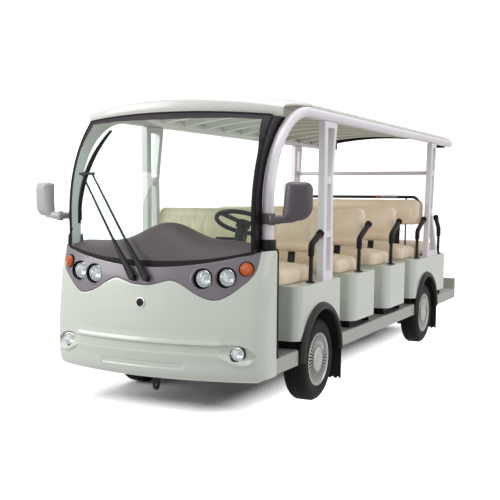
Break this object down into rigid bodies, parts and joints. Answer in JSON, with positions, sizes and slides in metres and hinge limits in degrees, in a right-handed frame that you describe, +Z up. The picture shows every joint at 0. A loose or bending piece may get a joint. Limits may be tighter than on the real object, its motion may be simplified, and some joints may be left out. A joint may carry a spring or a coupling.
{
  "type": "electric sightseeing bus",
  "caption": "Open-sided electric sightseeing bus with a moulded front, curved windscreen, full-length roof on tube frames and rows of bench seats.",
  "frame": {"origin": "centre of the bounding box at ground level, under the middle of the bus", "axes": "+X towards the front, +Y to the vehicle's left, +Z up"},
  "size_m": [4.96, 1.9816, 2.035],
  "materials": {
    "painted_steel_black": "satin",
    "floor_plate": "embossed",
    "body_paint": "gloss",
    "skirt_paint": "satin",
    "mask_plastic": "satin",
    "dash_plastic": "grained",
    "black_plastic": "grained",
    "screen_glass": "clear",
    "lamp_glass": "clear",
    "amber_lens": "gloss",
    "red_lens": "gloss",
    "mirror_glass": "polished",
    "tube_paint": "satin",
    "roof_paint": "gloss",
    "seat_vinyl": "soft",
    "rubber": "matt",
    "tyre": "matt",
    "wheel_silver": "satin",
    "cast_steel": "rough",
    "battery_case": "matt"
  },
  "bodies": {
    "chassis": {"chassis_frame": "painted_steel_black", "cross_members": "painted_steel_black", "floor_pan": "floor_plate", "side_skirts": "skirt_paint", "seat_plinths": "black_plastic", "front_fascia": "body_paint", "lamp_mask": "mask_plastic", "windscreen": "screen_glass", "windscreen_frame": "black_plastic", "headlamps": "lamp_glass", "turn_signals": "amber_lens", "wiper": "black_plastic", "dashboard": "dash_plastic", "steering_column": "black_plastic", "pedals": "black_plastic", "mirrors": "black_plastic", "mirror_glasses": "mirror_glass", "side_frames": "tube_paint", "posts": "tube_paint", "roof_front_cap": "roof_paint", "roof_panel": "roof_paint", "roof_bows": "roof_paint", "rear_header": "black_plastic", "seat_box_1": "body_paint", "seat_box_2": "body_paint", "seat_box_3": "body_paint", "seat_box_4": "body_paint", "wheel_liners": "rubber", "arch_trims": "black_plastic", "mudflaps": "rubber", "seat_cushions": "seat_vinyl", "backrests": "seat_vinyl", "backrest_frames": "painted_steel_black", "grab_handles": "black_plastic", "rear_platform": "skirt_paint", "tail_lamps": "red_lens", "front_axle": "cast_steel", "rear_axle": "cast_steel", "leaf_springs": "painted_steel_black", "battery_packs": "battery_case"},
    "tie_rod": {"tie_rod": "cast_steel"},
    "front_left_knuckle": {"front_left_knuckle": "cast_steel"},
    "front_right_knuckle": {"front_right_knuckle": "cast_steel"},
    "steering_wheel": {"steering_wheel": "black_plastic"},
    "front_left_wheel": {"front_left_tyre": "tyre", "front_left_wheel": "wheel_silver"},
    "front_right_wheel": {"front_right_tyre": "tyre", "front_right_wheel": "wheel_silver"},
    "rear_left_wheel": {"rear_left_tyre": "tyre", "rear_left_wheel": "wheel_silver"},
    "rear_right_wheel": {"rear_right_tyre": "tyre", "rear_right_wheel": "wheel_silver"}
  },
  "joints": [
    {"name": "front_left_steer", "type": "hinge", "parent": "chassis", "child": "front_left_knuckle", "pos_m": [1.4, 0.575, 0.28], "axis": [0, 0, 1], "range_deg": [-32, 32]},
    {"name": "front_right_steer", "type": "hinge", "parent": "chassis", "child": "front_right_knuckle", "pos_m": [1.4, -0.575, 0.28], "axis": [0, 0, 1], "range_deg": [-32, 32]},
    {"name": "tie_rod_slide", "type": "slide", "parent": "chassis", "child": "tie_rod", "axis": [0, 1, 0], "range_m": [-0.056, 0.056]},
    {"name": "steering_wheel_turn", "type": "hinge", "parent": "chassis", "child": "steering_wheel", "pos_m": [1.88, 0.4, 1.2], "axis": [-0.4226, 0, 0.9063], "range_deg": [-480, 480]},
    {"name": "front_left_wheel_spin", "type": "hinge", "parent": "front_left_knuckle", "child": "front_left_wheel", "pos_m": [1.4, 0.655, 0.28], "axis": [0, 1, 0], "continuous": true},
    {"name": "front_right_wheel_spin", "type": "hinge", "parent": "front_right_knuckle", "child": "front_right_wheel", "pos_m": [1.4, -0.655, 0.28], "axis": [0, 1, 0], "continuous": true},
    {"name": "rear_left_wheel_spin", "type": "hinge", "parent": "chassis", "child": "rear_left_wheel", "pos_m": [-1.29, 0.655, 0.28], "axis": [0, 1, 0], "continuous": true},
    {"name": "rear_right_wheel_spin", "type": "hinge", "parent": "chassis", "child": "rear_right_wheel", "pos_m": [-1.29, -0.655, 0.28], "axis": [0, 1, 0], "continuous": true}
  ],
  "couplings": [
    {"joint": "front_right_steer", "follows": "front_left_steer", "ratio": 1},
    {"joint": "tie_rod_slide", "follows": "front_left_steer", "m_per_rad": -0.1},
    {"joint": "steering_wheel_turn", "follows": "front_left_steer", "ratio": 15}
  ]
}
